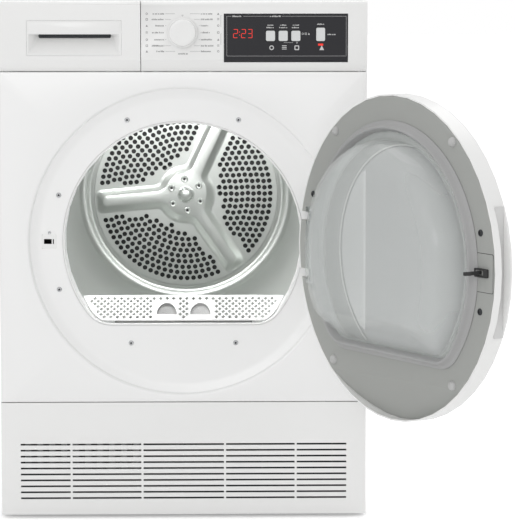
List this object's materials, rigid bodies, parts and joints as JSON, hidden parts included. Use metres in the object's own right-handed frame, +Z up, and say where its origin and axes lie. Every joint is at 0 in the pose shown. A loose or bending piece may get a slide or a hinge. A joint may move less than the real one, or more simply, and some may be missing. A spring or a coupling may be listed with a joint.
{
  "type": "clothes dryer",
  "caption": "Free-standing front-loading clothes dryer with a round side-hinged glass door, turning drum, belt drive, heat pump, water tank drawer and control panel.",
  "frame": {"origin": "point on the floor under the middle of the bounding box, with the door open as stored", "axes": "+X to the right of someone facing the front, +Y from the front to the back, +Z up; the open door reaches out towards -Y and +X"},
  "size_m": [0.7815, 1.0464, 0.845],
  "materials": {
    "enamel": "gloss white enamel",
    "white_plastic": "white satin moulding",
    "grey_plastic": "light grey moulding",
    "dark_plastic": "black moulding",
    "black_window": "black gloss display window",
    "pale_key": "pale grey key caps",
    "clear_glass": "clear moulded glass",
    "rubber": "black rubber",
    "felt": "felt glide strip",
    "drum_steel": "brushed stainless steel",
    "galvanised": "galvanised sheet",
    "aluminium": "bare fins",
    "cast_iron": "black painted housing",
    "circuit": "circuit board"
  },
  "bodies": {
    "cabinet": {"base_tray": "dark_plastic", "left_side_panel": "enamel", "right_side_panel": "enamel", "back_panel": "galvanised", "rear_duct_cover": "galvanised", "mains_gland": "dark_plastic", "top_panel": "white_plastic", "front_panel": "enamel", "plinth_grille": "white_plastic", "front_bulkhead": "white_plastic", "drum_front_seal": "felt", "control_fascia": "white_plastic", "display_window": "black_window", "control_board": "circuit", "tank_runner": "grey_plastic", "rear_bulkhead": "galvanised", "rear_bearing": "dark_plastic", "motor": "cast_iron", "blower_housing": "dark_plastic", "drive_belt": "rubber", "evaporator": "aluminium", "condenser": "aluminium", "compressor": "cast_iron", "condensate_pump": "dark_plastic", "pump_hose": "rubber", "hinge_bracket": "galvanised", "door_lock": "dark_plastic"},
    "door": {"door_outer_shell": "white_plastic", "door_window": "clear_glass", "door_glass_bowl": "clear_glass", "door_inner_cover": "grey_plastic", "door_seal": "rubber", "hinge_pin": "drum_steel"},
    "hook": {"door_hook": "dark_plastic"},
    "drum": {"drum_shell": "drum_steel", "drum_back": "drum_steel", "drum_lifter_1": "grey_plastic", "drum_lifter_2": "grey_plastic", "drum_lifter_3": "grey_plastic", "drum_shaft": "galvanised"},
    "roller_left": {"drum_roller_left": "rubber"},
    "roller_right": {"drum_roller_right": "rubber"},
    "motor_rotor": {"motor_shaft": "galvanised", "blower_wheel": "dark_plastic"},
    "idler_arm": {"idler_arm": "galvanised"},
    "idler_pulley": {"idler_pulley": "dark_plastic"},
    "tank_drawer": {"tank_drawer_front": "white_plastic", "tank_grip": "white_plastic", "water_tank": "white_plastic", "tank_lid": "white_plastic"},
    "program_knob": {"program_knob": "white_plastic"},
    "option_button_1": {"option_button_1": "pale_key"},
    "option_button_2": {"option_button_2": "pale_key"},
    "option_button_3": {"option_button_3": "pale_key"},
    "start_button": {"start_button": "pale_key"},
    "lint_filter": {"lint_filter": "white_plastic"},
    "foot_front_left": {"foot_front_left": "rubber"},
    "foot_front_right": {"foot_front_right": "rubber"},
    "foot_back_left": {"foot_back_left": "rubber"},
    "foot_back_right": {"foot_back_right": "rubber"}
  },
  "joints": [
    {"name": "door_hinge", "type": "hinge", "parent": "cabinet", "child": "door", "pos_m": [0.13105, -0.10735, 0.455], "axis": [0, 0, 1], "range_deg": [-122.5, 0]},
    {"name": "hook_pivot", "type": "hinge", "parent": "door", "child": "hook", "pos_m": [0.35068, -0.4921, 0.455], "axis": [0, 0, 1], "range_deg": [0, 6], "stiffness_Nm_per_rad": 0.6, "springref_deg": -2.86},
    {"name": "drum_spin", "type": "hinge", "parent": "cabinet", "child": "drum", "pos_m": [-0.09345, -0.01235, 0.488], "axis": [0, 1, 0], "continuous": true},
    {"name": "roller_left_spin", "type": "hinge", "parent": "cabinet", "child": "roller_left", "pos_m": [-0.27108, -0.00235, 0.23431], "axis": [0, 1, 0], "continuous": true},
    {"name": "roller_right_spin", "type": "hinge", "parent": "cabinet", "child": "roller_right", "pos_m": [0.08419, -0.00235, 0.23431], "axis": [0, 1, 0], "continuous": true},
    {"name": "motor_spin", "type": "hinge", "parent": "cabinet", "child": "motor_rotor", "pos_m": [0.07455, 0.31115, 0.112], "axis": [0, 1, 0], "continuous": true},
    {"name": "idler_pivot", "type": "hinge", "parent": "cabinet", "child": "idler_arm", "pos_m": [-0.08845, 0.30315, 0.106], "axis": [0, 1, 0], "range_deg": [0, 6], "stiffness_Nm_per_rad": 40, "springref_deg": -11.46},
    {"name": "idler_spin", "type": "hinge", "parent": "idler_arm", "child": "idler_pulley", "pos_m": [-0.03345, 0.31115, 0.146], "axis": [0, 1, 0], "continuous": true},
    {"name": "tank_slide", "type": "slide", "parent": "cabinet", "child": "tank_drawer", "axis": [0, -1, 0], "range_m": [0, 0.3]},
    {"name": "knob_turn", "type": "hinge", "parent": "cabinet", "child": "program_knob", "pos_m": [-0.09345, -0.07685, 0.794], "axis": [0, -1, 0], "continuous": true},
    {"name": "button_1_press", "type": "slide", "parent": "cabinet", "child": "option_button_1", "axis": [0, 1, 0], "range_m": [0, 0.0015], "stiffness_N_per_m": 600, "springref_m": -0.001},
    {"name": "button_2_press", "type": "slide", "parent": "cabinet", "child": "option_button_2", "axis": [0, 1, 0], "range_m": [0, 0.0015], "stiffness_N_per_m": 600, "springref_m": -0.001},
    {"name": "button_3_press", "type": "slide", "parent": "cabinet", "child": "option_button_3", "axis": [0, 1, 0], "range_m": [0, 0.0015], "stiffness_N_per_m": 600, "springref_m": -0.001},
    {"name": "start_press", "type": "slide", "parent": "cabinet", "child": "start_button", "axis": [0, 1, 0], "range_m": [0, 0.0015], "stiffness_N_per_m": 600, "springref_m": -0.001},
    {"name": "filter_lift", "type": "slide", "parent": "cabinet", "child": "lint_filter", "axis": [0, 0, 1], "range_m": [0, 0.11]},
    {"name": "foot_front_left_screw", "type": "slide", "parent": "cabinet", "child": "foot_front_left", "axis": [0, 0, -1], "range_m": [0, 0.012]},
    {"name": "foot_front_right_screw", "type": "slide", "parent": "cabinet", "child": "foot_front_right", "axis": [0, 0, -1], "range_m": [0, 0.012]},
    {"name": "foot_back_left_screw", "type": "slide", "parent": "cabinet", "child": "foot_back_left", "axis": [0, 0, -1], "range_m": [0, 0.012]},
    {"name": "foot_back_right_screw", "type": "slide", "parent": "cabinet", "child": "foot_back_right", "axis": [0, 0, -1], "range_m": [0, 0.012]}
  ],
  "couplings": [
    {"joint": "roller_left_spin", "follows": "drum_spin", "ratio": -11.376},
    {"joint": "roller_right_spin", "follows": "drum_spin", "ratio": -11.376},
    {"joint": "motor_spin", "follows": "drum_spin", "ratio": 23.7}
  ]
}
